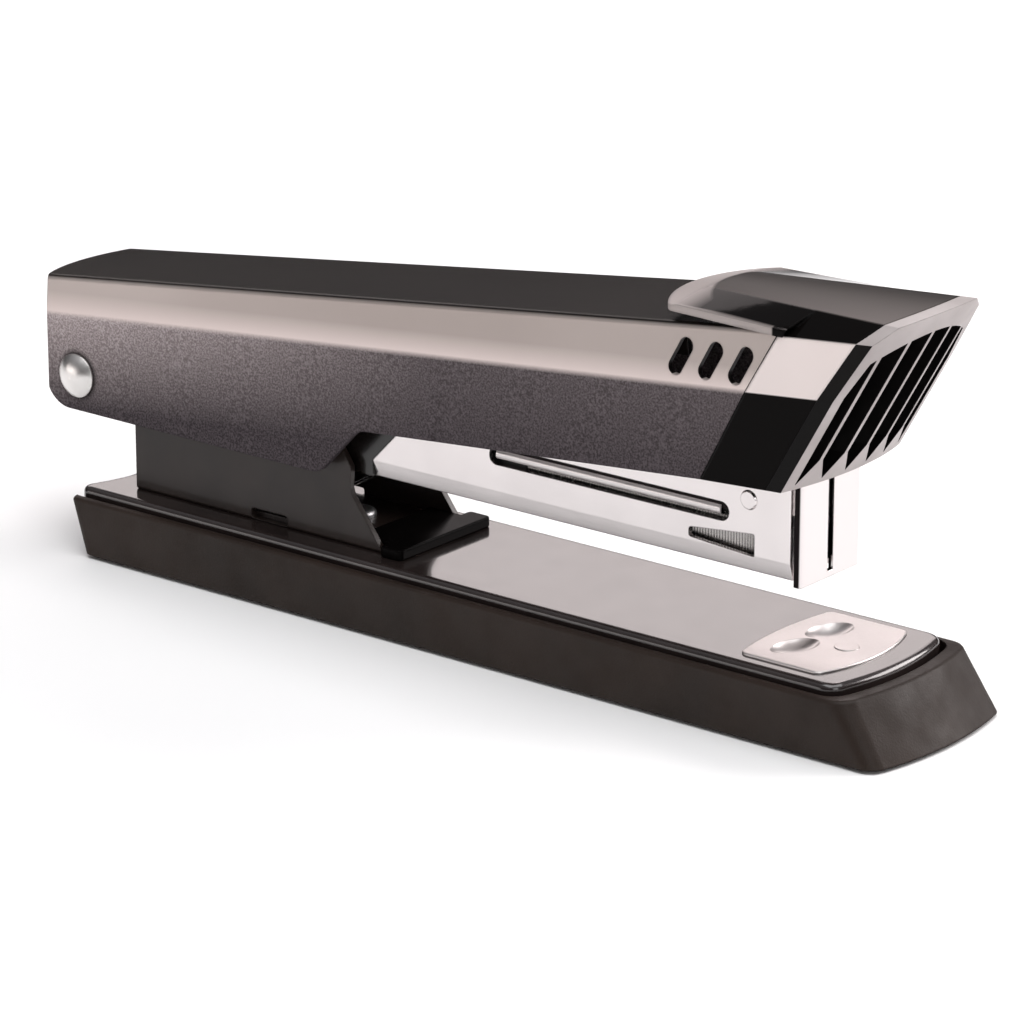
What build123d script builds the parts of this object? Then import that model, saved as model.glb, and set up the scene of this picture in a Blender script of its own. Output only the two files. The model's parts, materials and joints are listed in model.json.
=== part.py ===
from build123d import *
from math import asin, atan2, cos, degrees, radians, sin, sqrt
import os

# Full-strip desk stapler. Millimetres; X runs from the hinge to the nose, Y across, Z up.
# The desk is Z = 0 and the origin is under the middle of the whole stapler.

os.makedirs("parts", exist_ok=True)

# ---------------------------------------------------------------- driving dimensions
# Base
base_half_width = 16.2        # housing, at the desk
base_rear_low = -69.0         # housing, rear face at the desk and at the rim
base_rear_high = -72.1
base_front_low = 81.1         # front corners at the desk and at the rim
base_front_high = 75.2
front_bow = 2.3               # how far the front face bows out between its corners
housing_bottom = 0.5          # the rubber sole holds the housing this far off the desk
housing_top = 9.3
plate_top = 10.6              # steel base plate
plate_half_width = 13.9
sheet = 1.0                   # thickness of the base plate, bracket and arm cover
groove = 0.8                  # gap between the base plate and the housing's rim

# Hinge
pivot_x = -73.7
pivot_z = 27.6
pin_radius = 2.0
running_clearance = 0.06
bracket_half_width = 9.5

# Magazine, level at rest
mag_half_width = 7.75
mag_bottom = 21.8
mag_top = 36.6
mag_wall = 0.8
mag_front = 60.5
mag_rear = -16.4
slot_low = 28.4               # long slot in each side of the sheath
slot_high = 31.3
slot_front = 49.8
crown_half_width = 6.35       # staple, over its legs
wire = 0.5                    # staple wire
leg_length = 6.0
strip_front = 60.0
strip_rear = 12.0

# Arm
cover_thickness = 1.0
arm_rear = -83.4              # middle of the arm's bowed rear end, and its corners
arm_corner = -79.6
cap_low = (49.2, 36.4)        # line where the nose cap meets the cover: low and high end
cap_high = (62.4, 61.4)
blade_radius = 134.4          # hinge axis to the middle of the driver blade
blade_thickness = 0.6
blade_half_width = 6.0

# Nose
nose_slope = 0.57             # how far the front face runs forward for each mm of height
nose_foot_x = 65.6            # middle of the front face, at the height nose_foot_z
nose_foot_z = 37.5
nose_bow = 3.9                # how far the front face falls back between its middle and nose_wide
nose_wide = 20.0
grille_thickness = 2.6
fin_pitch = 5.0
fin_width = 0.7


# ---------------------------------------------------------------- shared shapes
def arm_top(x):
    """Height of the arm's flat top, which climbs towards the nose."""
    return 52.55 + 0.126 * x


def flank_line(x):
    """Half width and height of the crease between the arm's bevel and its side."""
    return 12.95 + 0.021 * x, 44.8 + 0.103 * x


def arm_section(x, inset):
    """Section across the arm at x: flat top, bevelled shoulders and slightly flared sides."""
    crease_half, crease_z = flank_line(x)
    top_half = 11.7 + 0.0215 * x
    foot_half = 13.2 + 0.026 * x
    with BuildSketch() as section:
        with BuildLine():
            Polyline(
                (-foot_half + inset, 15),
                (-crease_half + inset, crease_z - 0.4 * inset),
                (-top_half + 0.8 * inset, arm_top(x) - inset),
                (top_half - 0.8 * inset, arm_top(x) - inset),
                (crease_half - inset, crease_z - 0.4 * inset),
                (foot_half - inset, 15),
                close=True,
            )
        make_face()
    return section.sketch


def base_outline(rear, front, half_width, bow, corner):
    """Plan of the base: straight sides and rear, bowed front with rounded corners."""
    with BuildSketch() as plan:
        with BuildLine():
            ThreePointArc((front, -half_width), (front + bow, 0), (front, half_width))
            Polyline((front, half_width), (rear, half_width), (rear, -half_width), (front, -half_width))
        make_face()
        fillet(plan.vertices().group_by(Axis.X)[-1], corner)
        fillet(plan.vertices().group_by(Axis.X)[0], 1.5)
    return plan.sketch


def plate_outline(margin, corner):
    """Plan of the base plate, grown by margin: bowed front, hollowed rear."""
    half = plate_half_width + margin
    rear = -72.4 - margin
    front = 72.4 + margin
    with BuildSketch() as plan:
        with BuildLine():
            ThreePointArc((front, -half), (front + front_bow, 0), (front, half))
            Line((front, half), (rear, half))
            ThreePointArc((rear, half), (rear + 3.4, 0), (rear, -half))
            Line((rear, -half), (front, -half))
        make_face()
        fillet(plan.vertices().group_by(Axis.X)[-1], corner)
        fillet(plan.vertices().group_by(Axis.X)[0], 1.6)
    return plan.sketch


def anvil_outline(margin, corner):
    """Plan of the anvil plate, grown by margin: both ends bowed outwards."""
    half = 11.2 + margin
    rear = 54.5 - margin
    front = 68.0 + margin
    with BuildSketch() as plan:
        with BuildLine():
            ThreePointArc((front, -half), (front + 2.5, 0), (front, half))
            Line((front, half), (rear, half))
            ThreePointArc((rear, half), (rear - 1.2, 0), (rear, -half))
            Line((rear, -half), (front, -half))
        make_face()
        fillet(plan.vertices(), corner)
    return plan.sketch


def behind_front(inset):
    """Solid that fills all space behind the nose's front face, moved back by inset."""
    with BuildPart() as block:
        for z in (25.0, 70.0):
            middle = nose_foot_x + nose_slope * (z - nose_foot_z) - inset
            edge = middle - nose_bow
            with BuildSketch(Plane.XY.offset(z)):
                with BuildLine():
                    ThreePointArc((edge, -nose_wide), (middle, 0), (edge, nose_wide))
                    Polyline((edge, nose_wide), (-90, nose_wide), (-90, -nose_wide), (edge, -nose_wide))
                make_face()
        loft(ruled=True)
    return block.part


# ---------------------------------------------------------------- base
screw_places = [(-42, -7), (-42, 7), (44, -7), (44, 7)]
floor_top = 3.5
nut_low = 7.5

with BuildPart() as base_housing:
    with BuildSketch(Plane.XY.offset(housing_bottom)):
        add(base_outline(base_rear_low, base_front_low, base_half_width, front_bow, 3.0))
    with BuildSketch(Plane.XY.offset(housing_top)):
        add(base_outline(base_rear_high, base_front_high, base_half_width - 0.3, front_bow, 3.6))
    loft()
    fillet(base_housing.faces().sort_by(Axis.Z)[-1].outer_wire().edges(), 0.6)
    with BuildSketch(Plane.XY.offset(floor_top)):
        add(plate_outline(groove, 3.6))
    extrude(amount=20, mode=Mode.SUBTRACT)
    with BuildSketch(Plane.XY.offset(floor_top)):
        with Locations(*screw_places):
            Circle(4.2)
    extrude(amount=nut_low - floor_top)
    with BuildSketch(Plane.XY.offset(housing_bottom)):
        with Locations((5, 0)):
            RectangleRounded(138.4, 25.4, 4.2)
    extrude(amount=1.0, mode=Mode.SUBTRACT)
    with BuildSketch(Plane.XY.offset(housing_bottom)):
        with Locations(*screw_places):
            Circle(3.3)
    extrude(amount=3.0, mode=Mode.SUBTRACT)
    with BuildSketch(Plane.XY.offset(housing_bottom)):
        with Locations(*screw_places):
            Circle(1.8)
    extrude(amount=20, mode=Mode.SUBTRACT)
base_housing.part.label = "base_housing"
export_step(base_housing.part, "parts/base_housing.step")

with BuildPart() as rubber_sole:
    with BuildSketch():
        with Locations((5, 0)):
            RectangleRounded(138, 25, 4)
        with Locations(*screw_places):
            Circle(3.6, mode=Mode.SUBTRACT)
    extrude(amount=housing_bottom + 1.0)
    chamfer(rubber_sole.faces().sort_by(Axis.Z)[0].outer_wire().edges(), 0.25)
rubber_sole.part.label = "rubber_sole"
export_step(rubber_sole.part, "parts/rubber_sole.step")

rivet_places = [(-54, 0), (-26, 0)]
skirt_low = 6.0

with BuildPart() as base_plate:
    with BuildSketch(Plane.XY.offset(skirt_low)):
        add(plate_outline(0, 3.2))
    extrude(amount=plate_top - skirt_low)
    fillet(base_plate.faces().sort_by(Axis.Z)[-1].outer_wire().edges(), sheet)
    with BuildSketch(Plane.XY.offset(skirt_low)):
        add(plate_outline(-sheet, 2.4))
    extrude(amount=plate_top - sheet - skirt_low, mode=Mode.SUBTRACT)
    with BuildSketch(Plane.XY.offset(plate_top)):
        add(anvil_outline(-1.9, 0.8))
    extrude(amount=-2 * sheet, mode=Mode.SUBTRACT)
    with Locations(Plane.XY.offset(plate_top)):
        with Locations(*rivet_places):
            Hole(1.5)
base_plate.part.label = "base_plate"
export_step(base_plate.part, "parts/base_plate.step")

with BuildPart() as weld_nuts:
    with BuildSketch(Plane.XY.offset(nut_low)):
        with Locations(*screw_places):
            RegularPolygon(2.75, 6, major_radius=False)
            Circle(1.5, mode=Mode.SUBTRACT)
    extrude(amount=plate_top - sheet - nut_low)
weld_nuts.part.label = "weld_nuts"
export_step(weld_nuts.part, "parts/weld_nuts.step")

with BuildPart() as base_screws:
    with BuildSketch(Plane.XY.offset(1.9)):
        with Locations(*screw_places):
            Circle(2.9)
    extrude(amount=1.6)
    with BuildSketch(Plane.XY.offset(3.5)):
        with Locations(*screw_places):
            Circle(1.5)
    extrude(amount=6.0)
    with BuildSketch(Plane.XY.offset(1.9)):
        with Locations(*screw_places):
            Rectangle(3.6, 0.7)
            Rectangle(0.7, 3.6)
    extrude(amount=0.9, mode=Mode.SUBTRACT)
base_screws.part.label = "base_screws"
export_step(base_screws.part, "parts/base_screws.step")

# ---------------------------------------------------------------- anvil
anvil_top = plate_top + 0.35
post_x = 65.2
post_radius = 1.8
pocket_radius = 3.4
pocket_depth = 1.1
pocket_half_length = 3.9
former_half_length = pocket_half_length * sqrt(pocket_radius / pocket_depth)

# Spindle along Y that presses one clinching pocket.
with BuildPart() as pocket_former:
    with BuildSketch():
        with BuildLine():
            ThreePointArc((0, -former_half_length), (pocket_radius, 0), (0, former_half_length))
            Line((0, former_half_length), (0, -former_half_length))
        make_face()
    revolve(axis=Axis.Y)

with BuildPart() as anvil_plate:
    with BuildSketch(Plane.XY.offset(plate_top)):
        add(anvil_outline(0, 1.4))
    extrude(amount=anvil_top - plate_top)
    fillet(anvil_plate.faces().sort_by(Axis.Z)[-1].outer_wire().edges(), 0.25)
    with BuildSketch(Plane.XY.offset(plate_top)):
        add(anvil_outline(-2.0, 0.8))
    extrude(amount=-sheet)
    for side in (-1, 1):
        place = (59.2, side * 4.25, anvil_top + pocket_radius - pocket_depth)
        with Locations(Location(place, (0, 0, -14))):
            add(pocket_former.part, mode=Mode.SUBTRACT)
    with Locations((post_x, 0, anvil_top)):
        Hole(post_radius)
anvil_plate.part.label = "anvil_plate"
export_step(anvil_plate.part, "parts/anvil_plate.step")

backing_low = plate_top - 2 * sheet

with BuildPart() as anvil_backing:
    with BuildSketch(Plane.XY.offset(backing_low)):
        with Locations((62.0, 0)):
            RectangleRounded(19, 24, 2)
        with Locations((post_x, 0)):
            Circle(post_radius, mode=Mode.SUBTRACT)
    extrude(amount=sheet)
anvil_backing.part.label = "anvil_backing"
export_step(anvil_backing.part, "parts/anvil_backing.step")

with BuildPart() as anvil_rivet:
    with BuildSketch(Plane.XY.offset(backing_low - 0.8)):
        with Locations((post_x, 0)):
            Circle(post_radius + 0.8)
    extrude(amount=0.8)
    with BuildSketch(Plane.XY.offset(backing_low)):
        with Locations((post_x, 0)):
            Circle(post_radius)
    extrude(amount=anvil_top - backing_low + 0.12)
    fillet(anvil_rivet.faces().sort_by(Axis.Z)[-1].edges(), 0.1)
anvil_rivet.part.label = "anvil_rivet"
export_step(anvil_rivet.part, "parts/anvil_rivet.step")

# ---------------------------------------------------------------- hinge bracket
floor_of_bracket = plate_top + sheet
lobe_radius = 4.6

with BuildPart() as hinge_bracket:
    with BuildSketch(Plane.XZ) as cheek:
        with BuildLine():
            Polyline(
                (-63.4, plate_top),
                (-63.4, 21.8),
                (-72.5, 23.4),
                (-72.5, 32.0),
                (-55.0, 33.6),
                (-24.0, 30.0),
                (-19.3, 23.0),
                (-19.6, 19.2),
                (-13.1, plate_top),
                close=True,
            )
        make_face()
        fillet(cheek.vertices().group_by(Axis.Y)[-1], 3.0)
        fillet(cheek.vertices().sort_by_distance((-19.3, 23.0))[0], 2.0)
        fillet(cheek.vertices().sort_by_distance((-19.6, 19.2))[0], 3.0)
        with Locations((pivot_x, pivot_z)):
            Circle(lobe_radius)
    extrude(amount=bracket_half_width, both=True)
    with Locations((-46, 0, floor_of_bracket)):
        Box(90, 2 * (bracket_half_width - sheet), 30, align=(Align.CENTER, Align.CENTER, Align.MIN),
            mode=Mode.SUBTRACT)
    fillet(hinge_bracket.edges().filter_by(Axis.X).group_by(Axis.Z)[0], 0.5)
    for y in (-15, 15):
        with BuildSketch(Plane.XZ.offset(y)):
            with Locations((-35.8, floor_of_bracket + 0.1)):
                RectangleRounded(7.4, 1.7, 0.5)
        extrude(amount=7, both=True, mode=Mode.SUBTRACT)
    with BuildSketch(Plane.XZ):
        with Locations((pivot_x, pivot_z)):
            Circle(pin_radius)
    extrude(amount=20, both=True, mode=Mode.SUBTRACT)
    with Locations(Plane.XY.offset(floor_of_bracket)):
        with Locations(*rivet_places):
            Hole(1.5)
hinge_bracket.part.label = "hinge_bracket"
export_step(hinge_bracket.part, "parts/hinge_bracket.step")

with BuildPart() as bracket_rivets:
    with BuildSketch(Plane.XY.offset(plate_top - sheet - 0.8)):
        with Locations(*rivet_places):
            Circle(2.6)
    extrude(amount=0.8)
    with BuildSketch(Plane.XY.offset(plate_top - sheet)):
        with Locations(*rivet_places):
            Circle(1.5)
    extrude(amount=2 * sheet)
    with BuildSketch(Plane.XY.offset(floor_of_bracket)):
        with Locations(*rivet_places):
            Circle(2.8)
    extrude(amount=1.2)
    fillet(bracket_rivets.faces().group_by(Axis.Z)[-1].edges(), 0.9)
bracket_rivets.part.label = "bracket_rivets"
export_step(bracket_rivets.part, "parts/bracket_rivets.step")

lip_front = -8.6

with BuildPart() as bracket_lip:
    with BuildSketch(Plane.XY.offset(plate_top)):
        with Locations((lip_front - 2.1, 0)):
            RectangleRounded(4.2, 21.6, 0.8)
    extrude(amount=1.7)
    with BuildSketch(Plane.XY.offset(floor_of_bracket)):
        with Locations((-14.2, 0)):
            Rectangle(9.0, 16.6)
    extrude(amount=0.7)
    fillet(bracket_lip.edges().filter_by(Axis.Y).group_by(Axis.X)[-1], 0.35)
    with BuildSketch(Plane.XY.offset(plate_top)):
        with Locations((-16.0, 0)):
            Rectangle(5.8, 19.2)
    extrude(amount=sheet, mode=Mode.SUBTRACT)
bracket_lip.part.label = "bracket_lip"
export_step(bracket_lip.part, "parts/bracket_lip.step")

# Leaf that holds the magazine up: riveted down at the rear, its free end under the magazine.
with BuildPart() as lift_spring:
    with BuildSketch(Plane.XZ):
        with BuildLine() as leaf_path:
            clamped = Line((-49, floor_of_bracket + 0.21), (-39, floor_of_bracket + 0.21))
            bend = TangentArc(clamped @ 1, (-33, floor_of_bracket + 1.8), tangent=(1, 0))
            Line(bend @ 1, (-17.8, mag_bottom - 0.3))
        trace(leaf_path.line, line_width=0.4)
    extrude(amount=4.0, both=True)
lift_spring.part.label = "lift_spring"
export_step(lift_spring.part, "parts/lift_spring.step")

# ---------------------------------------------------------------- hinge pin
cheek_outer = 11.3            # outside of the arm cover at the hinge
head_radius = 3.5

dome_height = 1.5
dome_sphere = (head_radius ** 2 + dome_height ** 2) / (2 * dome_height)
dome_angle = degrees(asin(head_radius / dome_sphere))
dome_base = cheek_outer + 0.5         # where the head's short cylinder turns into the dome
pin_axis = Axis((pivot_x, 0, pivot_z), (0, 1, 0))

with BuildPart() as hinge_pin:
    with BuildSketch(Plane.XY.offset(pivot_z)):
        with BuildLine():
            Polyline(
                (pivot_x, -dome_base - dome_height),
                (pivot_x, cheek_outer + 0.2),
                (pivot_x + pin_radius, cheek_outer + 0.2),
                (pivot_x + pin_radius, -cheek_outer - 0.2),
                (pivot_x + head_radius, -cheek_outer - 0.2),
                (pivot_x + head_radius, -dome_base),
            )
            centre_y = dome_sphere - dome_height - dome_base
            CenterArc((pivot_x, centre_y), dome_sphere, -90, dome_angle)
        make_face()
    revolve(axis=pin_axis)
hinge_pin.part.label = "hinge_pin"
export_step(hinge_pin.part, "parts/hinge_pin.step")

with BuildPart() as hinge_pin_cap:
    with BuildSketch(Plane.XY.offset(pivot_z)):
        with BuildLine():
            Polyline(
                (pivot_x, dome_base + dome_height),
                (pivot_x, cheek_outer + 0.2),
                (pivot_x + head_radius, cheek_outer + 0.2),
                (pivot_x + head_radius, dome_base),
            )
            CenterArc((pivot_x, -centre_y), dome_sphere, 90 - dome_angle, dome_angle)
        make_face()
    revolve(axis=pin_axis)
hinge_pin_cap.part.label = "hinge_pin_cap"
export_step(hinge_pin_cap.part, "parts/hinge_pin_cap.step")

with BuildPart() as hinge_washers:
    for low in (-8.4, 7.8):
        with BuildSketch(Plane.XZ.offset(-low)):
            with Locations((pivot_x, pivot_z)):
                Circle(4.0)
                Circle(pin_radius + running_clearance, mode=Mode.SUBTRACT)
        extrude(amount=-0.6)
hinge_washers.part.label = "hinge_washers"
export_step(hinge_washers.part, "parts/hinge_washers.step")

# ---------------------------------------------------------------- magazine
mag_length = mag_front - mag_rear
inner_half = mag_half_width - mag_wall
guide_outer = inner_half - 0.02
guide_inner = guide_outer - 0.8
crease_z = 24.4               # where the sheath's sides lean in towards its floor
floor_half = 7.0
rail_half = crown_half_width - wire - 0.08
crown_top = mag_bottom + mag_wall + 0.15 + leg_length + wire
rod_z = 31.7
rod_radius = 1.0
spot_radius = 0.7
tail_spot = (2.6, 33.6)       # rivets that join the sheath to its tail and to its front plate
front_spot = (53.2, 32.5)

with BuildPart() as magazine_sheath:
    with BuildSketch(Plane.YZ.offset(mag_rear)):
        with BuildLine():
            Polyline(
                (-mag_half_width, mag_top),
                (-mag_half_width, crease_z),
                (-floor_half, mag_bottom),
                (floor_half, mag_bottom),
                (mag_half_width, crease_z),
                (mag_half_width, mag_top),
                (inner_half, mag_top),
                (inner_half, crease_z),
                (floor_half - 0.5, mag_bottom + mag_wall),
                (0.5 - floor_half, mag_bottom + mag_wall),
                (-inner_half, crease_z),
                (-inner_half, mag_top),
                close=True,
            )
        make_face()
    extrude(amount=mag_length)
    with Locations((strip_front + 4, 0, mag_bottom)):
        Box(8, 13.0, 4, mode=Mode.SUBTRACT)
    with BuildSketch(Plane.XZ):
        with BuildLine():
            Polyline(
                (mag_rear, crease_z),
                (mag_rear + 12.4, 37.2),
                (mag_rear - 1, 37.2),
                (mag_rear - 1, crease_z),
                close=True,
            )
        make_face()
    extrude(amount=20, both=True, mode=Mode.SUBTRACT)
    with BuildSketch(Plane.XZ):
        with Locations(((slot_front + 6.0) / 2, (slot_low + slot_high) / 2)):
            SlotOverall(slot_front - 6.0, slot_high - slot_low)
    extrude(amount=20, both=True, mode=Mode.SUBTRACT)
    with BuildSketch(Plane.XZ) as staple_window:
        with BuildLine():
            Polyline((42.6, 24.9), (54.3, 24.1), (54.3, 27.6), (42.6, 26.4), close=True)
        make_face()
        fillet(staple_window.vertices().group_by(Axis.X)[0], 0.65)
        fillet(staple_window.vertices().group_by(Axis.X)[-1], 0.4)
    extrude(amount=20, both=True, mode=Mode.SUBTRACT)
    with BuildSketch(Plane.XZ):
        with Locations(tail_spot, front_spot):
            Circle(spot_radius)
    extrude(amount=20, both=True, mode=Mode.SUBTRACT)
magazine_sheath.part.label = "magazine_sheath"
export_step(magazine_sheath.part, "parts/magazine_sheath.step")

with BuildPart() as magazine_tail:
    with BuildSketch(Plane.XZ):
        with BuildLine():
            Polyline(
                (-72.0, 23.2),
                (-68.0, mag_bottom),
                (mag_rear - 0.1, mag_bottom),
                (mag_rear - 0.1, crease_z),
                (mag_rear + 11.7, mag_top),
                (-60.0, mag_top),
                (-72.0, 32.2),
                close=True,
            )
        make_face()
        with Locations((pivot_x, pivot_z)):
            Circle(4.8)
    extrude(amount=mag_half_width, both=True)
    with Locations((0, 0, mag_bottom + mag_wall)):
        Box(200, 2 * inner_half, 40, align=(Align.CENTER, Align.CENTER, Align.MIN), mode=Mode.SUBTRACT)
    with Locations((pivot_x, 0, 20)):
        Box(11, 2 * inner_half, 20, mode=Mode.SUBTRACT)
    for side in (-1, 1):
        with Locations((-7.0, side * (guide_outer + guide_inner) / 2, 33.4)):
            Box(26, guide_outer - guide_inner, 5.6)
        with Locations((-16.0, side * (inner_half - 0.1), 33.4)):
            Box(6, 0.6, 5.6)
    with BuildSketch(Plane.XZ):
        with Locations((pivot_x, pivot_z)):
            Circle(pin_radius + running_clearance)
        with Locations(tail_spot):
            Circle(spot_radius)
    extrude(amount=20, both=True, mode=Mode.SUBTRACT)
magazine_tail.part.label = "magazine_tail"
export_step(magazine_tail.part, "parts/magazine_tail.step")

front_plate_x = 62.0          # outside of the front plate
front_plate_half = 7.2
flange_rear = 60.8            # the plate's short side flanges start here, clear of the sheath

with BuildPart() as magazine_front_plate:
    with BuildSketch(Plane.XY.offset(20.9)):
        with Locations(((front_plate_x + flange_rear) / 2, 0)):
            Rectangle(front_plate_x - flange_rear, 2 * front_plate_half)
        with Locations((front_plate_x - mag_wall - 2, 0)):
            Rectangle(4, 2 * (crown_half_width + 0.1), mode=Mode.SUBTRACT)
    extrude(amount=15.3)
    fillet(magazine_front_plate.edges().filter_by(Axis.Z).group_by(Axis.X)[-1], 0.5)
    for side in (-1, 1):
        with Locations((56.6, side * (guide_outer + guide_inner) / 2, 33.8)):
            Box(9.2, guide_outer - guide_inner, 4.8)
    with Locations((front_plate_x, 0, 21.8)):
        Box(4, 1.4, 20, align=(Align.CENTER, Align.CENTER, Align.MIN), mode=Mode.SUBTRACT)
    with BuildSketch(Plane.XZ):
        with Locations(front_spot):
            Circle(spot_radius)
    extrude(amount=20, both=True, mode=Mode.SUBTRACT)
magazine_front_plate.part.label = "magazine_front_plate"
export_step(magazine_front_plate.part, "parts/magazine_front_plate.step")

bead_z = (slot_low + slot_high) / 2

with BuildPart() as staple_guides:
    for side in (-1, 1):
        with BuildSketch(Plane.YZ.offset(7.0)):
            with Locations((side * (guide_outer + guide_inner) / 2, 33.1)):
                Rectangle(guide_outer - guide_inner, 6.2)
        extrude(amount=44.5)
        with BuildSketch(Plane.YZ.offset(7.0)):
            with Locations((side * 6.62, bead_z)):
                Circle(0.8)
            with Locations((side * 5.45, bead_z)):
                Rectangle(2.0, 4.0, mode=Mode.SUBTRACT)
        extrude(amount=40.9)
staple_guides.part.label = "staple_guides"
export_step(staple_guides.part, "parts/staple_guides.step")

with BuildPart() as magazine_rivets:
    for x, z in (tail_spot, front_spot):
        for side in (-1, 1):
            with BuildSketch(Plane.XZ.offset(-side * guide_inner)):
                with Locations((x, z)):
                    Circle(spot_radius)
            extrude(amount=-side * (mag_half_width - guide_inner))
            with BuildSketch(Plane.XZ.offset(-side * mag_half_width)):
                with Locations((x, z)):
                    Circle(1.5)
            extrude(amount=-side * 0.3, taper=40)
magazine_rivets.part.label = "magazine_rivets"
export_step(magazine_rivets.part, "parts/magazine_rivets.step")

with BuildPart() as staple_rail:
    with BuildSketch(Plane.YZ.offset(-45.8)):
        with Locations((0, (mag_bottom + mag_wall + crown_top - wire) / 2)):
            Rectangle(2 * rail_half, crown_top - wire - 0.05 - mag_bottom - mag_wall)
        with Locations((0, (mag_bottom + mag_wall + crown_top - wire) / 2 - 1.0)):
            Rectangle(2 * rail_half - 1.6, crown_top - wire - mag_bottom - mag_wall, mode=Mode.SUBTRACT)
    extrude(amount=45.8 + strip_front - 0.05)
staple_rail.part.label = "staple_rail"
export_step(staple_rail.part, "parts/staple_rail.step")

with BuildPart() as staple_strip:
    with BuildSketch(Plane.YZ.offset(strip_rear)):
        with Locations((0, crown_top - (leg_length + wire) / 2)):
            Rectangle(2 * crown_half_width, leg_length + wire)
        with Locations((0, crown_top - wire - leg_length / 2)):
            Rectangle(2 * (crown_half_width - wire), leg_length, mode=Mode.SUBTRACT)
    extrude(amount=strip_front - strip_rear)
staple_strip.part.label = "staple_strip"
export_step(staple_strip.part, "parts/staple_strip.step")

with BuildPart() as magazine_end_block:
    with BuildSketch(Plane.YZ.offset(-52.0)):
        with Locations((0, 29.3)):
            Rectangle(2 * inner_half - 0.1, 13.0)
    extrude(amount=6.2)
    chamfer(magazine_end_block.edges().filter_by(Axis.X).group_by(Axis.Z)[0], 0.8)
    with Locations(Location((-49.0, 0, rod_z), (0, 90, 0))):
        Cylinder(rod_radius, 20, mode=Mode.SUBTRACT)
magazine_end_block.part.label = "magazine_end_block"
export_step(magazine_end_block.part, "parts/magazine_end_block.step")

with BuildPart() as rod_holder:
    with BuildSketch(Plane.YZ.offset(52.2)):
        with Locations((0, 32.0)):
            Rectangle(2 * guide_inner, 4.6)
    extrude(amount=4.0)
    with Locations(Location((54.2, 0, rod_z), (0, 90, 0))):
        Cylinder(rod_radius, 20, mode=Mode.SUBTRACT)
rod_holder.part.label = "rod_holder"
export_step(rod_holder.part, "parts/rod_holder.step")

with BuildPart() as pusher_rod:
    with BuildSketch(Plane.YZ.offset(-54.0)):
        with Locations((0, rod_z)):
            Circle(rod_radius)
    extrude(amount=112.0)
    chamfer(pusher_rod.edges().filter_by(GeomType.CIRCLE), 0.25)
pusher_rod.part.label = "pusher_rod"
export_step(pusher_rod.part, "parts/pusher_rod.step")

pusher_front = strip_rear - 0.15
pusher_length = 9.6
crown_gap = 0.1

with BuildPart() as pusher:
    with BuildSketch(Plane.YZ.offset(pusher_front - pusher_length)):
        with Locations((0, (24.0 + 29.6) / 2)):
            Rectangle(2 * crown_half_width - 0.1, 29.6 - 24.0)
        with Locations((0, (24.0 + crown_top - wire) / 2)):
            Rectangle(2 * (rail_half + crown_gap), crown_top - wire + crown_gap - 24.0, mode=Mode.SUBTRACT)
    extrude(amount=pusher_length)
    with BuildSketch(Plane.YZ.offset(pusher_front - pusher_length)):
        with Locations((0, 31.6)):
            RectangleRounded(5.6, 4.6, 0.8)
    extrude(amount=4.5)
    with Locations(Location((pusher_front, 0, rod_z), (0, 90, 0))):
        Cylinder(rod_radius + running_clearance, 40, mode=Mode.SUBTRACT)
pusher.part.label = "pusher"
export_step(pusher.part, "parts/pusher.step")

spring_wire = 0.22
spring_mean = 1.75
spring_start = -45.7
spring_length = pusher_front - pusher_length - 0.1 - spring_start

with BuildPart() as pusher_spring:
    with BuildLine():
        pusher_coil = Helix(
            pitch=(spring_length - 2 * spring_wire) / 22,
            height=spring_length - 2 * spring_wire,
            radius=spring_mean,
            center=(spring_start + spring_wire, 0, rod_z),
            direction=(1, 0, 0),
        )
    with BuildSketch(Plane(origin=pusher_coil @ 0, z_dir=pusher_coil % 0)):
        Circle(spring_wire)
    sweep(is_frenet=True)
pusher_spring.part.label = "pusher_spring"
export_step(pusher_spring.part, "parts/pusher_spring.step")

# ---------------------------------------------------------------- arm
arm_tilt = degrees(atan2(0.126, 1))
slot_tilt = 63.4


def arm_plane(depth):
    """Plane parallel to the arm's top, the given depth under it."""
    return Plane(
        origin=(0, 0, arm_top(0)),
        x_dir=(cos(radians(arm_tilt)), 0, sin(radians(arm_tilt))),
        z_dir=(-sin(radians(arm_tilt)), 0, cos(radians(arm_tilt))),
    ).offset(-depth)


def arm_plan(inset, corner):
    """Plan of the arm: a bowed rear end with rounded corners, open towards the nose."""
    half = 12.0 - inset
    with BuildSketch() as plan:
        with BuildLine():
            ThreePointArc((arm_corner + inset, -half), (arm_rear + inset, 0), (arm_corner + inset, half))
            Polyline((arm_corner + inset, half), (80, half + 8), (80, -half - 8), (arm_corner + inset, -half))
        make_face()
        fillet(plan.vertices().group_by(Axis.X)[-2], corner)
    return plan.sketch


with BuildPart() as arm_cavity:
    for x in (-88, 70):
        with BuildSketch(Plane.YZ.offset(x)):
            add(arm_section(x, cover_thickness))
    loft()
    with BuildSketch():
        add(arm_plan(1.2 * cover_thickness, 1.3))
    extrude(amount=80, mode=Mode.INTERSECT)

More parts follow.
